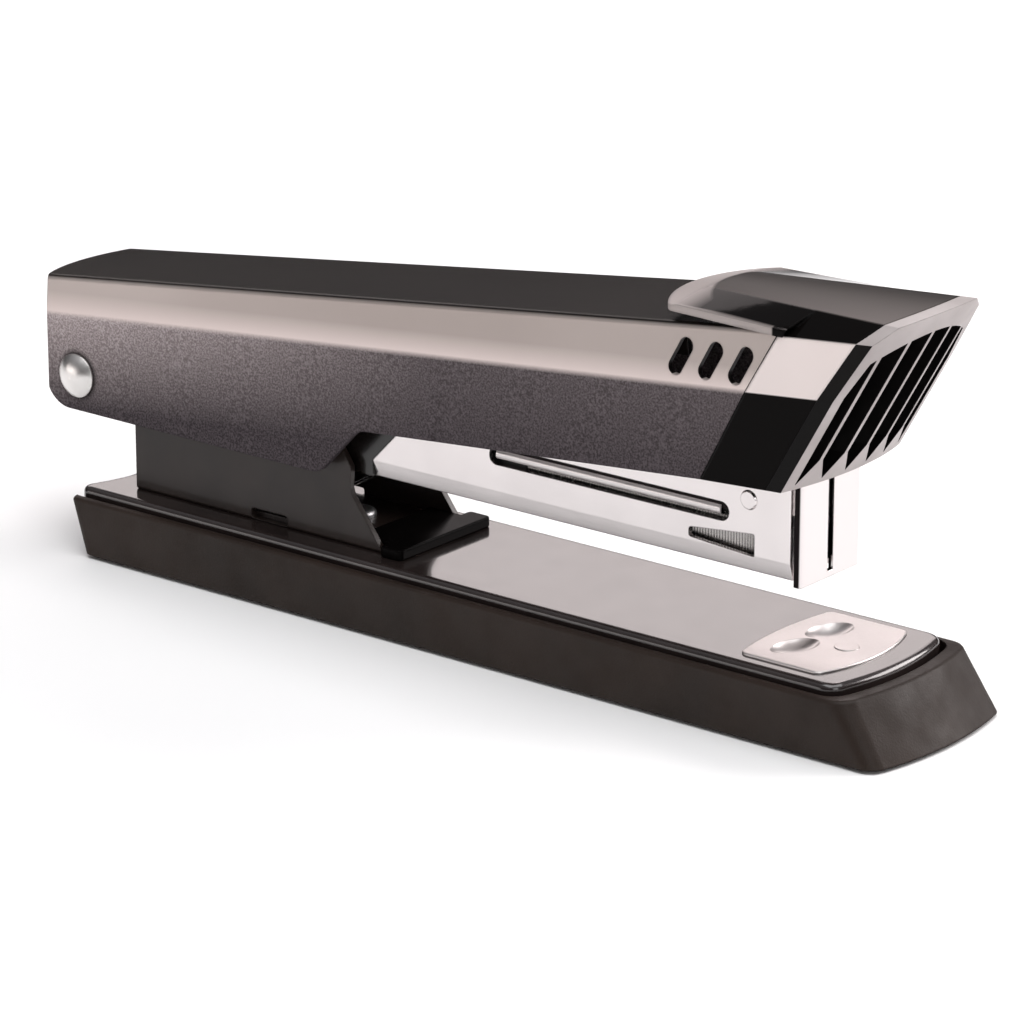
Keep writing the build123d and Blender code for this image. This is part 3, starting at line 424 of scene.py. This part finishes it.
def black_nylon():
    """Moulded black nylon, slightly glossy."""
    made = Surface("black_nylon", (0.025, 0.024, 0.024), 0.45, specular=0.4)
    made.roughness(made.spread(made.noise(3 * MM, 4), 0.38, 0.55))
    made.bump(made.noise(0.6 * MM, 3), 0.015 * MM)
    return made.material


NICKEL = (0.76, 0.715, 0.71)

plastic = moulded_plastic()
plate_paint = gloss_paint("plate_paint", (0.02, 0.0145, 0.0135), 0.16, 0.6)
bracket_paint = gloss_paint("bracket_paint", (0.021, 0.0145, 0.0125), 0.34, 0.1, 0.3)
black_paint = gloss_paint("black_paint", (0.006, 0.0045, 0.004), 0.22, 0.2)
lip_gloss = gloss_paint("lip_gloss", (0.003, 0.0025, 0.0025), 0.2, 0.0, 0.02)
nickel = plated("nickel", NICKEL, 0.2).material
bright_steel = plated("bright_steel", (0.68, 0.645, 0.635), 0.36, (1, 1, 1)).material
plain_steel = plated("plain_steel", (0.5, 0.5, 0.51), 0.4).material
spring_steel = plated("spring_steel", (0.55, 0.54, 0.55), 0.25).material
pin_nickel = plated("pin_nickel", (0.74, 0.72, 0.7), 0.32, (1, 1, 1)).material
staple_wire = plated("staple_wire", (0.36, 0.345, 0.335), 0.25, (1, 1, 1)).material
nylon = black_nylon()

finishes = {
    "base_housing": plastic,
    "rubber_sole": soft_rubber(),
    "base_plate": plate_paint,
    "weld_nuts": plain_steel,
    "base_screws": plain_steel,
    "anvil_plate": bright_steel,
    "anvil_backing": plain_steel,
    "anvil_rivet": bright_steel,
    "hinge_bracket": bracket_paint,
    "bracket_rivets": plain_steel,
    "bracket_lip": lip_gloss,
    "hinge_pin": pin_nickel,
    "hinge_pin_cap": pin_nickel,
    "hinge_washers": nylon,
    "magazine_sheath": nickel,
    "magazine_tail": black_paint,
    "magazine_front_plate": front_nickel(),
    "staple_guides": guide_steel(),
    "magazine_rivets": nickel,
    "staple_rail": plain_steel,
    "magazine_end_block": nylon,
    "rod_holder": nylon,
    "pusher_rod": plain_steel,
    "pusher": nylon,
    "arm_cover": arm_paint(),
    "arm_stiffener": black_paint,
    "driver_leaf": spring_steel,
    "leaf_rivets": plain_steel,
    "driver_blade": spring_steel,
    "driver_rivets": plain_steel,
    "nose_cap": cap_gloss(),
    "nose_grille": grille_plastic(),
}
for name, material in finishes.items():
    for holder in nodes[name].material_slots:
        holder.material = material


# ---------------------------------------------------------------- meshes
def mesh_object(name, made, material, smooth=True):
    """A new object from a bmesh, with one material."""
    bmesh.ops.recalc_face_normals(made, faces=made.faces)
    mesh = bpy.data.meshes.new(name)
    made.to_mesh(mesh)
    made.free()
    mesh.materials.append(material)
    for face in mesh.polygons:
        face.use_smooth = smooth
    built = bpy.data.objects.new(name, mesh)
    bpy.context.scene.collection.objects.link(built)
    return built


def sweep(made, points, profile):
    """Adds a closed bar to a bmesh: the profile, a list of (side, up) offsets, carried along the points."""
    rings = []
    side = None
    for i, point in enumerate(points):
        ahead = points[min(i + 1, len(points) - 1)] - points[max(i - 1, 0)]
        ahead.normalize()
        if side is None:
            side = ahead.orthogonal().normalized()
            for guide in (Vector((0, 1, 0)), Vector((1, 0, 0))):
                if abs(ahead.dot(guide)) < 0.5:
                    side = guide
        side = (side - ahead * side.dot(ahead)).normalized()
        up = ahead.cross(side)
        rings.append([made.verts.new(point + side * s + up * u) for s, u in profile])
    count = len(profile)
    for low, high in zip(rings, rings[1:]):
        for i in range(count):
            made.faces.new((low[i], low[(i + 1) % count], high[(i + 1) % count], high[i]))
    made.faces.new(rings[0][::-1])
    made.faces.new(rings[-1])


def round_profile(radius, sides=10):
    turn = 2 * math.pi / sides
    return [(radius * math.cos(turn * i), radius * math.sin(turn * i)) for i in range(sides)]


def bar_profile(width, height, bevel):
    """Outline of a flat bar with bevelled edges."""
    w, h = width / 2, height / 2
    corners = ((w, h - bevel), (w - bevel, h), (bevel - w, h), (-w, h - bevel))
    return list(corners) + [(-a, -b) for a, b in corners]


def arc(centre, radius, start, end, steps, plane="XZ"):
    """Points on an arc; angles in degrees from +X (or +Y in the YZ plane) towards +Z."""
    points = []
    for i in range(steps + 1):
        angle = math.radians(start + (end - start) * i / steps)
        a, b = radius * math.cos(angle), radius * math.sin(angle)
        points.append(centre + (Vector((a, 0, b)) if plane == "XZ" else Vector((0, a, b))))
    return points


# ---------------------------------------------------------------- staples
WIRE = 0.5 * MM                           # pitch of the wires along the strip
staple_count = round((strip_high.x - strip_low.x) / WIRE)
leg = strip_high.y - WIRE / 2
crown = strip_high.z - WIRE / 2
bend = 0.45 * MM
staple_wire_outline = bar_profile(0.45 * MM, 0.42 * MM, 0.15 * MM)

made = bmesh.new()
for i in range(staple_count):
    x = strip_low.x + (i + 0.5) * WIRE
    path = [Vector((x, -leg, strip_low.z))]
    path += arc(Vector((x, bend - leg, crown - bend)), bend, 180, 90, 4, "YZ")
    path += arc(Vector((x, leg - bend, crown - bend)), bend, 90, 0, 4, "YZ")
    path.append(Vector((x, leg, strip_low.z)))
    sweep(made, path, staple_wire_outline)
staples = mesh_object("staples", made, staple_wire, smooth=False)
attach(staples, "magazine")
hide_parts("staple_strip")


# ---------------------------------------------------------------- springs
def helix(start, end, radius, turns, first_angle=0.0, steps_per_turn=20):
    """Points of a coil round the line from start to end, which runs along X or Y."""
    along = (end - start).normalized()
    across = Vector((0, 1, 0)) if abs(along.x) > 0.5 else Vector((1, 0, 0))
    third = along.cross(across)
    steps = int(turns * steps_per_turn)
    points = []
    for i in range(steps + 1):
        angle = first_angle + 2 * math.pi * turns * i / steps
        middle = start.lerp(end, i / steps)
        points.append(middle + radius * (across * math.cos(angle) + third * math.sin(angle)))
    return points


# The long coil that pushes the staples forward
coil_wire = 0.22 * MM                     # radius of the wire
coil_turns = 22
coil_middle = (coil_low + coil_high) / 2
coil_radius = (coil_high.z - coil_low.z) / 2 - coil_wire
coil_start = Vector((coil_low.x + coil_wire, coil_middle.y, coil_middle.z))
coil_end = Vector((coil_high.x - coil_wire, coil_middle.y, coil_middle.z))
made = bmesh.new()
sweep(made, helix(coil_start, coil_end, coil_radius, coil_turns), round_profile(coil_wire, 8))
push_coil = mesh_object("push_coil", made, spring_steel)
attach(push_coil, "magazine")
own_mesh(push_coil)
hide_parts("pusher_spring")

# The leaf that lifts the magazine: clamped in the bracket, curling up to the magazine's floor
leaf_thickness = 0.4 * MM
leaf_width = leaf_high.y - leaf_low.y
leaf_z = leaf_low.z + leaf_thickness / 2
leaf_tip = Vector((leaf_high.x - 0.3 * MM, 0, leaf_high.z - leaf_thickness / 2 - 0.1 * MM))
leaf_bend = Vector((leaf_low.x + 10 * MM, 0, leaf_z))
leaf_steps = 24
leaf_curl = 1.35                          # 1 would be a straight ramp
made = bmesh.new()
path = [Vector((leaf_low.x + i * MM, 0, leaf_z)) for i in range(10)]
for i in range(leaf_steps + 1):
    t = i / leaf_steps
    run = leaf_bend.lerp(leaf_tip, t)
    run.z = leaf_z + (leaf_tip.z - leaf_z) * t ** leaf_curl
    path.append(run)
sweep(made, path, bar_profile(leaf_width, leaf_thickness, 0.08 * MM))
lift_leaf = mesh_object("lift_leaf", made, spring_steel, smooth=False)
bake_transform(lift_leaf)
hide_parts("lift_spring")

# The torsion spring round the hinge pin: one leg on the magazine's floor, one under the arm's top
torsion_wire = 0.45 * MM                  # radius of the wire
torsion_radius = 3.1 * MM
torsion_half = 2.9 * MM
coil_from = pivot - Vector((0, torsion_half, 0))
coil_to = pivot + Vector((0, torsion_half, 0))
low_leg = Vector((13.7, 0, -4.55)) * MM   # ends of the legs, from the pin
high_leg = Vector((14.6, 0, 14.75)) * MM


def leaving_angle(leg):
    """Angle round the coil, in its own turning sense, where a line from the leg's end touches it."""
    to_leg = math.atan2(-leg.z, leg.x)
    return to_leg - math.acos(torsion_radius / leg.length)


low_angle = leaving_angle(low_leg) + 2 * math.acos(torsion_radius / low_leg.length)
high_angle = leaving_angle(high_leg)
torsion_turns = 5 + (high_angle - low_angle) / (2 * math.pi)
coil = helix(coil_from, coil_to, torsion_radius, torsion_turns, low_angle)
made = bmesh.new()
sweep(made, [coil_from + low_leg] + coil + [coil_to + high_leg], round_profile(torsion_wire, 10))
hinge_coil = mesh_object("hinge_coil", made, spring_steel)
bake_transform(hinge_coil)
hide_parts("arm_spring")


# ---------------------------------------------------------------- stage
def floor():
    """A pale floor, a hair below the sole."""
    made = bmesh.new()
    bmesh.ops.create_grid(made, x_segments=1, y_segments=1, size=4.0)
    surface = Surface("studio_floor", (0.93, 0.93, 0.93), 0.7, specular=0.2)
    surface.roughness(surface.spread(surface.noise(60 * MM, 2), 0.65, 0.75))
    built = mesh_object("studio_floor", made, surface.material)
    built.location.z = -0.0001


def softbox(name, direction, distance, size, strength, color=(1, 1, 1)):
    """A square lamp that faces the middle of the stapler."""
    data = bpy.data.lights.new(name, "AREA")
    data.shape = "RECTANGLE"
    data.size, data.size_y = size
    data.energy = strength
    data.color = color
    lamp = bpy.data.objects.new(name, data)
    bpy.context.scene.collection.objects.link(lamp)
    towards = Vector(direction).normalized()
    lamp.location = middle + towards * distance
    lamp.rotation_euler = towards.to_track_quat("Z", "Y").to_euler()


middle = (cad_box[0] + cad_box[1]) / 2
floor()
# Overhead, two behind that glance off the tops and the base's front, and two low fills in front
softbox("overhead", (0.25, -0.1, 1.0), 1.3, (1.5, 1.2), 17)
softbox("behind", (-0.594, 0.74, 0.44), 1.2, (1.1, 0.4), 2.8, (1, 0.9, 0.89))
softbox("behind_right", (0.518, 0.74, 0.43), 1.2, (0.7, 0.5), 9.5, (1, 0.94, 0.93))
softbox("left_front", (-0.60, -0.80, 0.13), 1.1, (0.9, 0.26), 1.6, (1, 0.94, 0.92))
softbox("right_front", (0.85, -0.45, 0.35), 1.2, (0.5, 0.5), 2)

# The room is dim near the horizon and lighter overhead
world = bpy.data.worlds.new("studio")
world.use_nodes = True
tree = world.node_tree
direction = tree.nodes.new("ShaderNodeTexCoord")
split = tree.nodes.new("ShaderNodeSeparateXYZ")
lift = tree.nodes.new("ShaderNodeMapRange")
lift.inputs["From Min"].default_value = 0.25
lift.inputs["To Min"].default_value = 0.03
lift.inputs["To Max"].default_value = 0.5
tree.links.new(direction.outputs["Generated"], split.inputs[0])
tree.links.new(split.outputs["Z"], lift.inputs["Value"])
tree.links.new(lift.outputs[0], tree.nodes["Background"].inputs["Strength"])
tree.nodes["Background"].inputs["Color"].default_value = (0.97, 0.96, 1, 1)
bpy.context.scene.world = world
bpy.context.scene.view_settings.view_transform = "Standard"

# ---------------------------------------------------------------- camera
AZIMUTH = math.radians(38.75)
ELEVATION = math.radians(18.5)
DISTANCE = 0.7455
aim = Vector((4.1, 0, 18.4)) * MM
back = Vector(
    (
        math.sin(AZIMUTH) * math.cos(ELEVATION),
        -math.cos(AZIMUTH) * math.cos(ELEVATION),
        math.sin(ELEVATION),
    )
)
camera_data = bpy.data.cameras.new("camera")
camera_data.sensor_width = 36
camera_data.lens = 175.8
camera = bpy.data.objects.new("camera", camera_data)
bpy.context.scene.collection.objects.link(camera)
camera.location = aim + back * DISTANCE
camera.rotation_euler = (-back).to_track_quat("-Z", "Y").to_euler()
bpy.context.scene.camera = camera
